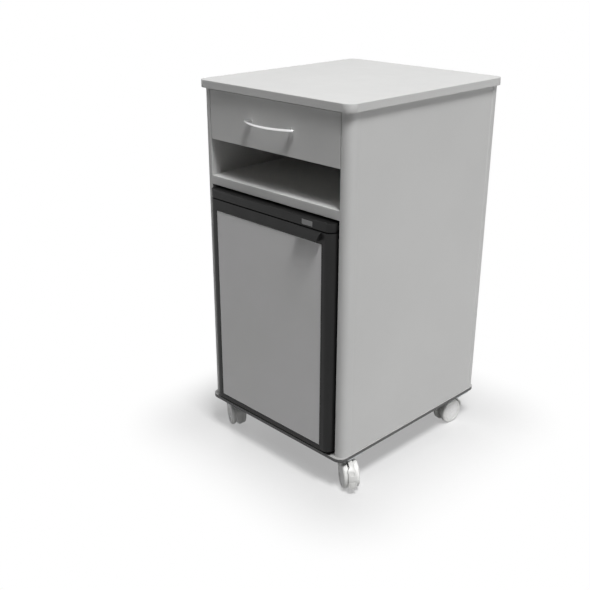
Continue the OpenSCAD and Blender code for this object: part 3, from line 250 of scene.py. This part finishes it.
# Small rounding on the edges that a hand meets: a saw-sharp edge never catches the light as real ones do.
# Each group has its width in millimetres; sharpFrom and flatWithin are in degrees. The parts in keptTriangles
# have open rims, which one merged face would close.
edgeRounding = {
    "boards": (1.2, "top_board base_board niche_shelf drawer_front"),
    "panels": (0.6, "left_side_panel right_side_panel decor_panel drawer_tray back_panel"),
    "mouldings": (1.0, "door_frame fridge_bar door_pull fridge_case thermostat_housing terminal_box"),
    "fittings": (0.7, "front_left_fork front_right_fork rear_left_fork rear_right_fork front_left_pedal "
                      "front_right_pedal caster_plates drawer_handle"),
    "keptTriangles": "door_frame fridge_bar door_pull fridge_case",
    "steps": 2, "sharpFrom": 32, "flatWithin": 0.3, "weldMm": 0.02}


def roundEdges(name, widthMm):
    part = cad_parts[name]
    weld = part.modifiers.new("joinFaces", "WELD")
    weld.merge_threshold = edgeRounding["weldMm"] * mm
    if name not in edgeRounding["keptTriangles"].split():
        merge = part.modifiers.new("flattenFaces", "DECIMATE")
        merge.decimate_type = "DISSOLVE"
        merge.angle_limit = math.radians(edgeRounding["flatWithin"])
    bevel = part.modifiers.new("roundEdges", "BEVEL")
    bevel.width = widthMm * mm
    bevel.segments = edgeRounding["steps"]
    bevel.limit_method = "ANGLE"
    bevel.angle_limit = math.radians(edgeRounding["sharpFrom"])
    bevel.miter_outer = "MITER_ARC"


for group in ("boards", "panels", "mouldings", "fittings"):
    widthMm, names = edgeRounding[group]
    for name in names.split():
        roundEdges(name, widthMm)
print("edges rounded")


# small pieces that ride on the frame, drawn in millimetres

def makePiece(name, points, faces, look, body, smooth=True):
    mesh = bpy.data.meshes.new(name)
    mesh.from_pydata([Vector(p) * mm for p in points], [], faces)
    mesh.polygons.foreach_set("use_smooth", [smooth] * len(mesh.polygons))
    mesh.materials.append(looks[look])
    piece = bpy.data.objects.new(name, mesh)
    bpy.context.collection.objects.link(piece)
    shell = bmesh.new()
    shell.from_mesh(mesh)
    bmesh.ops.recalc_face_normals(shell, faces=shell.faces)
    shell.to_mesh(mesh)
    shell.free()
    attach(piece, body)
    return piece


# faces between two rings of corners, each ring given by its first corner
def ringSides(low, high, count):
    return [(low + k, low + (k + 1) % count, high + (k + 1) % count, high + k) for k in range(count)]


# faces of a closed bar whose two ends have the same number of corners
def barFaces(start, count):
    return [tuple(range(start, start + count)), tuple(range(start + count, start + 2 * count)),
            *ringSides(start, start + count, count)]


# Blank plate let into the fridge's top bar, where such a fridge has its plate
badgePlate = {"x": (114, 145.5), "z": (634, 645.5), "face": -263.9, "sunk": 0.3, "proud": 0.45, "corner": 1.2,
              "cornerSteps": 5, "rim": 0.3}


def roundedRect(inset):
    left, right = badgePlate["x"][0] + inset, badgePlate["x"][1] - inset
    bottom, top = badgePlate["z"][0] + inset, badgePlate["z"][1] - inset
    corner = badgePlate["corner"] - inset
    spots = []
    for cx, cz, start in ((right - corner, top - corner, 0), (left + corner, top - corner, 90),
                          (left + corner, bottom + corner, 180), (right - corner, bottom + corner, 270)):
        for k in range(badgePlate["cornerSteps"] + 1):
            turn = math.radians(start + 90 * k / badgePlate["cornerSteps"])
            spots.append((cx + corner * math.cos(turn), cz + corner * math.sin(turn)))
    return spots


def makeBadgePlate():
    back = badgePlate["face"] + badgePlate["sunk"]
    front = badgePlate["face"] - badgePlate["proud"]
    rim = badgePlate["rim"]
    points = []
    for inset, y in ((0, back), (0, front + rim), (rim, front)):
        points += [(x, y, z) for x, z in roundedRect(inset)]
    count = len(points) // 3
    faces = ringSides(0, count, count) + ringSides(count, 2 * count, count)
    faces += [tuple(range(count)), tuple(range(2 * count, 3 * count))]
    makePiece("blankBadgePlate", points, faces, "badge", "cabinet", smooth=False)


makeBadgePlate()

# Moulded lip that holds the decor panel's upper edge. It is black and reaches about 6 mm down the panel, so
# it is partly a real lip and partly a dark strip of painted shade, standing in for the soft shade under the
# frame's edge. Its round underside leaves a soft line on the panel. The profile is in Y and Z.
decorLipAndShade = {"halfWidth": 173.2,
            "profile": [(-262.9, 601.2), (-263.3, 601.0), (-263.6, 601.15), (-263.8, 601.5), (-263.9, 602.0),
                        (-263.9, 606.7), (-262.9, 606.7)]}


def makeDecorLipAndShade():
    points = [(sx * decorLipAndShade["halfWidth"], y, z) for sx in (-1, 1) for y, z in decorLipAndShade["profile"]]
    faces = barFaces(0, len(decorLipAndShade["profile"]))
    # black strip: partly the lip, partly painted shade along the decor's upper edge
    makePiece("decorPanelLipAndShade", points, faces, "black", "fridge_door", smooth=False)


makeDecorLipAndShade()

# Sealing bead in the step between each side panel and its posts, which hides the joint. Each seam has its Y
# and the way along Y in which its panel lies; middleProud hollows the bead between its edges.
bead = {"panelX": 229.5, "postX": 230.8, "edgeSunk": 0.3, "middleProud": 0.35,
        "seams": ((-219.5, 1), (247.5, -1)), "reach": 4.0, "bottom": 86.6, "top": 881.9}


def makeBeads():
    points, faces = [], []
    for sx in (-1, 1):
        edge, middle = sx * (bead["panelX"] - bead["edgeSunk"]), sx * (bead["panelX"] + bead["middleProud"])
        for seam, way in bead["seams"]:
            reach = way * bead["reach"]
            faces += barFaces(len(points), 4)
            for z in (bead["bottom"], bead["top"]):
                points += [(edge, seam, z), (sx * bead["postX"], seam, z), (middle, seam + reach / 2, z),
                           (edge, seam + reach, z)]
    makePiece("jointBeads", points, faces, "laminate", "cabinet", smooth=False)


makeBeads()

# Magnetic gasket: a flange in the door, a bellows neck and a magnet pocket that meets the case, mitred at the
# corners. The profile runs from its inner edge outwards and from the door towards the case.
gasket = {"halfWidth": 171.5, "bottom": 126.0, "top": 604.5, "door": -225.9,
          "profile": [(0.6, 0), (9.4, 0), (9.4, 1.4), (6.6, 2.2), (6.2, 3.0), (8.2, 3.6), (8.2, 4.2),
                      (6.2, 4.8), (6.6, 5.4), (9.3, 5.9), (9.8, 6.6), (9.8, 8.6), (9.2, 9.4), (8.2, 9.6),
                      (1.8, 9.6), (0.8, 9.4), (0.2, 8.6), (0.2, 6.6), (0.7, 5.9), (3.4, 5.4), (3.8, 4.8),
                      (1.8, 4.2), (1.8, 3.6), (3.8, 3.0), (3.4, 2.2), (0.6, 1.4)]}


def makeGasket():
    points, faces = [], []
    count = len(gasket["profile"])
    corners = ((-1, False), (1, False), (1, True), (-1, True))
    for corner, (sx, top) in enumerate(corners):
        for out, deep in gasket["profile"]:
            z = gasket["top"] + out if top else gasket["bottom"] - out
            points.append((sx * (gasket["halfWidth"] + out), gasket["door"] + deep, z))
        faces += ringSides(corner * count, (corner + 1) % len(corners) * count, count)
    piece = makePiece("doorGasket", points, faces, "seal", "fridge_door", smooth=False)
    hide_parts("door_seal")


makeGasket()

# Casters: for each one, the sides of its swivel in X and Y, and the way its wheels trail at rest, in degrees
# from straight forward. The cap in a wheel's dish has its profile in radius and height over the wheel's face.
casterSetup = {"x": 204, "y": 212, "middleY": 11.5, "axle": 32.5, "trail": 25, "wheelFace": 19.5, "steps": 56,
               "turns": {"front_left": (-1, -1, 62), "front_right": (1, -1, 56), "rear_left": (-1, 1, -65),
                         "rear_right": (1, 1, -6)},
               "cap": [(0, 0.3), (3.4, 0.3), (4.2, 0.1), (6.4, 0.1), (7.4, 0.3), (12, 0.28), (17, 0.1),
                       (21, -0.2), (23.2, -0.5), (24.2, -0.95), (6.2, -0.95), (6.2, 0.02), (0, 0.02)]}


# the middle of a caster's axle, with X away from its swivel and Y along the axle
def casterPlace(corner):
    sx, sy, turn = casterSetup["turns"][corner]
    swivel = Matrix.Translation((sx * casterSetup["x"], casterSetup["middleY"] + sy * casterSetup["y"],
                                 casterSetup["axle"]))
    turned = Matrix.Rotation(math.radians(turn - 90), 4, "Z")
    return swivel @ turned @ Matrix.Translation((casterSetup["trail"], 0, 0))


# one ring of corners for each radius and height; a radius of 0 closes the shape in one point
def lathe(profile, place, steps):
    points, faces, rings = [], [], []
    for r, h in profile:
        start = len(points)
        if r == 0:
            rings.append([start] * steps)
            points.append(place @ Vector((0, 0, h)))
        else:
            rings.append(list(range(start, start + steps)))
            for k in range(steps):
                a = 2 * math.pi * k / steps
                points.append(place @ Vector((r * math.cos(a), r * math.sin(a), h)))
    for low, high in zip(rings, rings[1:]):
        for k in range(steps):
            n = (k + 1) % steps
            corners = [low[k], low[n], high[n], high[k]]
            face = [v for i, v in enumerate(corners) if v not in corners[:i]]
            if len(face) > 2:
                faces.append(tuple(face))
    return points, faces


def wheelOnSide(corner, side):
    spot = casterPlace(corner) @ Vector((0, side * casterSetup["wheelFace"], 0)) * mm

    def distance(body):
        low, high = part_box(body)
        return ((Vector(low) + Vector(high)) / 2 - spot).length

    return min((corner + "_inner_wheel", corner + "_outer_wheel"), key=distance)


def makeWheelCaps():
    for corner in casterSetup["turns"]:
        for side in (-1, 1):
            toFace = Matrix.Translation((0, side * casterSetup["wheelFace"], 0))
            turnOut = Matrix.Rotation(math.radians(-90 * side), 4, "X")
            place = casterPlace(corner) @ toFace @ turnOut
            points, faces = lathe(casterSetup["cap"], place, casterSetup["steps"])
            wheel = wheelOnSide(corner, side)
            makePiece(wheel + "_cap", points, faces, "cap", wheel)


makeWheelCaps()

# Grip ribs across the foot plate of each brake pedal; the plate leans out by lean over a height of drop
pedalRibs = {"heights": (-3.4, -6.6, -9.8), "length": 8.4, "width": 1.1, "sunk": 0.09, "proud": 0.45,
             "endSlope": 0.4, "sideSlope": 0.3, "face": 39.1, "lean": 2, "drop": 16.5}


def makePedalRibs():
    half, wide = pedalRibs["length"] / 2, pedalRibs["width"] / 2
    levels = ((-pedalRibs["sunk"], half, wide),
              (pedalRibs["proud"], half - pedalRibs["endSlope"], wide - pedalRibs["sideSlope"]))
    for corner in ("front_left", "front_right"):
        place = casterPlace(corner)
        points, faces = [], []
        for z in pedalRibs["heights"]:
            faces += barFaces(len(points), 4)
            for out, y, dz in levels:
                for sideY, sideZ in ((-1, -1), (1, -1), (1, 1), (-1, 1)):
                    lean = pedalRibs["lean"] * -(z + sideZ * dz) / pedalRibs["drop"]
                    points.append(place @ Vector((pedalRibs["face"] + lean + out, sideY * y, z + sideZ * dz)))
        makePiece(corner + "_pedal_ribs", points, faces, "caster", corner + "_pedal", smooth=False)


makePedalRibs()

# Pan-head screws with a cross recess, which hold the back panel to the rear posts and rails. The higher the
# crown, the flatter the head's middle.
screwHead = {"radius": 3.6, "height": 1.5, "crown": 4, "armLong": 2.1, "armHalf": 0.55, "deep": 0.9,
             "rings": 9, "steps": 48}
backScrews = {"face": 271.5, "x": (-196, 196), "z": (112, 300, 486, 672, 858), "turns": (12, 57, 33, 80, 21)}


def panHead(place, turn):
    steps, rings = screwHead["steps"], screwHead["rings"]
    points = [place @ Vector((0, 0, screwHead["height"] - screwHead["deep"]))]
    for ring in range(1, rings + 1):
        r = screwHead["radius"] * ring / rings
        h = screwHead["height"] * math.sqrt(max(0.0, 1 - (ring / rings) ** screwHead["crown"]))
        for k in range(steps):
            a = 2 * math.pi * k / steps
            x, y = r * math.cos(a), r * math.sin(a)
            inner, outer = sorted((abs(x), abs(y)))
            inCross = inner < screwHead["armHalf"] and outer < screwHead["armLong"]
            spot = Vector((x, y, h - screwHead["deep"] if inCross else h))
            points.append(place @ (Matrix.Rotation(math.radians(turn), 3, "Z") @ spot))
    faces = [(0, 1 + k, 1 + (k + 1) % steps) for k in range(steps)]
    for ring in range(rings - 1):
        faces += ringSides(1 + ring * steps, 1 + (ring + 1) * steps, steps)
    faces.append(tuple(range(1 + (rings - 1) * steps, 1 + rings * steps)))
    return points, faces


def makeBackScrews():
    points, faces = [], []
    turnBack = Matrix.Rotation(math.radians(-90), 4, "X")
    for x in backScrews["x"]:
        for z, turn in zip(backScrews["z"], backScrews["turns"]):
            place = Matrix.Translation((x, backScrews["face"], z)) @ turnBack
            morePoints, moreFaces = panHead(place, turn)
            faces += [tuple(v + len(points) for v in face) for face in moreFaces]
            points += morePoints
    makePiece("backPanelScrews", points, faces, "zinc", "cabinet")


makeBackScrews()

# Printed numbers round the thermostat knob; seen from the knob's side they rise clockwise.
# dialFacing turns text from flat on the floor to upright on the housing's face, towards -X.
dial = {"face": 149.0, "y": -95.9, "z": 565, "radius": 17.6, "from": -135, "to": 135, "numbers": "012345",
        "tall": 4.6, "thick": 0.12}
dialFacing = Matrix(((0, 0, -1, 0), (-1, 0, 0, 0), (0, 1, 0, 0), (0, 0, 0, 1)))


def makeDialNumbers():
    points, faces = [], []
    for k, figure in enumerate(dial["numbers"]):
        turn = math.radians(dial["from"] + (dial["to"] - dial["from"]) * k / (len(dial["numbers"]) - 1))
        text = bpy.data.curves.new("dialNumber", "FONT")
        text.body = figure
        text.size = dial["tall"]
        text.align_x, text.align_y = "CENTER", "CENTER"
        text.extrude = dial["thick"]
        holder = bpy.data.objects.new("dialNumber", text)
        bpy.context.collection.objects.link(holder)
        bpy.context.view_layer.update()
        drawn = holder.evaluated_get(bpy.context.evaluated_depsgraph_get())
        shape = drawn.to_mesh()
        place = Matrix.Translation((dial["face"], dial["y"] - dial["radius"] * math.sin(turn),
                                    dial["z"] + dial["radius"] * math.cos(turn))) @ dialFacing
        faces += [tuple(len(points) + v for v in face.vertices) for face in shape.polygons]
        points += [place @ v.co for v in shape.vertices]
        drawn.to_mesh_clear()
        bpy.data.objects.remove(holder)
        bpy.data.curves.remove(text)
    makePiece("thermostatNumbers", points, faces, "print", "cabinet", smooth=False)


makeDialNumbers()
print("small pieces made")

# camera, as the photograph was taken
cameraSetup = {"place": (1.3646, -1.5046, 1.1951), "azimuth": 45.70, "elevation": 22.40,
               "lens": 52.6, "sensor": 36}
cameraData = bpy.data.cameras.new("photoCamera")
cameraData.lens = cameraSetup["lens"]
cameraData.sensor_width = cameraSetup["sensor"]
camera = bpy.data.objects.new("photoCamera", cameraData)
camera.location = cameraSetup["place"]
camera.rotation_euler = (math.radians(90 - cameraSetup["elevation"]), 0, math.radians(cameraSetup["azimuth"]))
bpy.context.collection.objects.link(camera)
bpy.context.scene.camera = camera

# Lamps: softboxes on a sphere round the aim, in metres and watts. The knee and rear ones reach what the big
# ones leave dark, and they leave no glare.
lampSetup = {
    "aim": (0, 0, 0.45), "reach": 6.5, "size": 1.6,
    "lamps": [
        {"name": "keySoftbox", "azimuth": -24, "elevation": 66, "watts": 356},
        {"name": "frontSoftbox", "azimuth": -60, "elevation": 62, "watts": 50},
        {"name": "lowRightSoftbox", "azimuth": 5, "elevation": 38, "watts": 16},
        {"name": "kneeSoftbox", "azimuth": 8, "elevation": 6, "watts": 2.5, "reach": 1.35, "size": 0.5,
         "aim": (0, 0, 0.06), "glare": False},
        {"name": "rearSoftbox", "azimuth": 150, "elevation": 20, "watts": 70, "glare": False},
    ]}


def addLamp(setup):
    data = bpy.data.lights.new(setup["name"], "AREA")
    data.shape = "SQUARE"
    data.size = setup.get("size", lampSetup["size"])
    data.energy = setup["watts"]
    lamp = bpy.data.objects.new(setup["name"], data)
    around, up = math.radians(setup["azimuth"]), math.radians(setup["elevation"])
    away = Vector((math.cos(up) * math.cos(around), math.cos(up) * math.sin(around), math.sin(up)))
    lamp.location = Vector(setup.get("aim", lampSetup["aim"])) + setup.get("reach", lampSetup["reach"]) * away
    lamp.rotation_euler = away.to_track_quat("Z", "Y").to_euler()
    lamp.visible_glossy = setup.get("glare", True)
    lamp.visible_camera = False
    bpy.context.collection.objects.link(lamp)


for setup in lampSetup["lamps"]:
    addLamp(setup)


# 1 for the rays that show the set: from the camera, mirrored in gloss or let through
def seenRays(tree):
    rays = addNode(tree, "ShaderNodeLightPath").outputs
    direct = addNode(tree, "ShaderNodeMath", {"operation": "MAXIMUM"},
                     {0: rays["Is Camera Ray"], 1: rays["Is Transmission Ray"]})
    return addNode(tree, "ShaderNodeMath", {"operation": "MAXIMUM"},
                   {0: direct.outputs[0], 1: rays["Is Glossy Ray"]}).outputs[0]


def addWorld():
    world = bpy.data.worlds.new("studioWorld")
    bpy.context.scene.world = world
    world.use_nodes = True
    backdrop = world.node_tree.nodes["Background"]
    backdrop.inputs["Color"].default_value = (1, 1, 1, 1)
    world.node_tree.links.new(seenRays(world.node_tree), backdrop.inputs["Strength"])


addWorld()

# White paper sweep, rolled smooth: dull, so that only the object's shadow shows on it. It throws back light
# in its bounce tone and is seen in its seen tone with a little glow. That fades to plain white at fadeTo
# metres outside the cabinet's plan, which halfPlan and middleY give.
paperSweep = {"size": 40, "bounce": "#acacac", "seen": "#b4b4b4", "glow": 0.37, "rough": 0.8,
              "specular": 0.1, "halfPlan": (0.2375, 0.266), "middleY": 0.0115, "fadeTo": 0.25}


def addFloor():
    half = paperSweep["size"] / 2
    mesh = bpy.data.meshes.new("floor")
    corners = [(-half, -half, 0), (half, -half, 0), (half, half, 0), (-half, half, 0)]
    mesh.from_pydata(corners, [], [(0, 1, 2, 3)])
    floor = bpy.data.objects.new("floor", mesh)
    bpy.context.collection.objects.link(floor)
    paper, tree, matt, place = newSurface("whitePaperSweep", {"Roughness": paperSweep["rough"],
                                                              "Specular IOR Level": paperSweep["specular"]})
    mesh.materials.append(paper)
    looking = seenRays(tree)
    tone = addNode(tree, "ShaderNodeMix", {"data_type": "RGBA", 6: toLinear(paperSweep["bounce"]),
                                           7: toLinear(paperSweep["seen"])}, {0: looking})
    tree.links.new(tone.outputs[2], matt.inputs["Base Color"])
    glow = addNode(tree, "ShaderNodeMath", {"operation": "MULTIPLY", 1: paperSweep["glow"]}, {0: looking})
    haze = addNode(tree, "ShaderNodeEmission", links={"Strength": glow.outputs[0]})
    litPaper = addNode(tree, "ShaderNodeAddShader", links={0: matt.outputs[0], 1: haze.outputs[0]})
    # how far a point lies outside the cabinet's plan
    centred = addNode(tree, "ShaderNodeVectorMath",
                      {"operation": "SUBTRACT", 1: (0, paperSweep["middleY"], 0)}, {0: place})
    folded = addNode(tree, "ShaderNodeVectorMath", {"operation": "ABSOLUTE"}, {0: centred.outputs[0]})
    outside = addNode(tree, "ShaderNodeVectorMath",
                      {"operation": "SUBTRACT", 1: (*paperSweep["halfPlan"], 0)}, {0: folded.outputs[0]})
    beyond = addNode(tree, "ShaderNodeVectorMath",
                     {"operation": "MAXIMUM", 1: (0, 0, 0)}, {0: outside.outputs[0]})
    away = addNode(tree, "ShaderNodeVectorMath", {"operation": "LENGTH"}, {0: beyond.outputs[0]})
    fade = addNode(tree, "ShaderNodeMapRange",
                   {"interpolation_type": "SMOOTHSTEP", "From Max": paperSweep["fadeTo"]},
                   {"Value": away.outputs["Value"]})
    share = addNode(tree, "ShaderNodeMath", {"operation": "MULTIPLY"},
                    {0: fade.outputs["Result"], 1: looking})
    white = addNode(tree, "ShaderNodeEmission", {"Strength": 1.0})
    blend = addNode(tree, "ShaderNodeMixShader",
                    links={0: share.outputs[0], 1: litPaper.outputs[0], 2: white.outputs[0]})
    tree.links.new(blend.outputs[0], tree.nodes["Material Output"].inputs["Surface"])


addFloor()
bpy.context.scene.view_settings.view_transform = "Standard"
print("studio set")
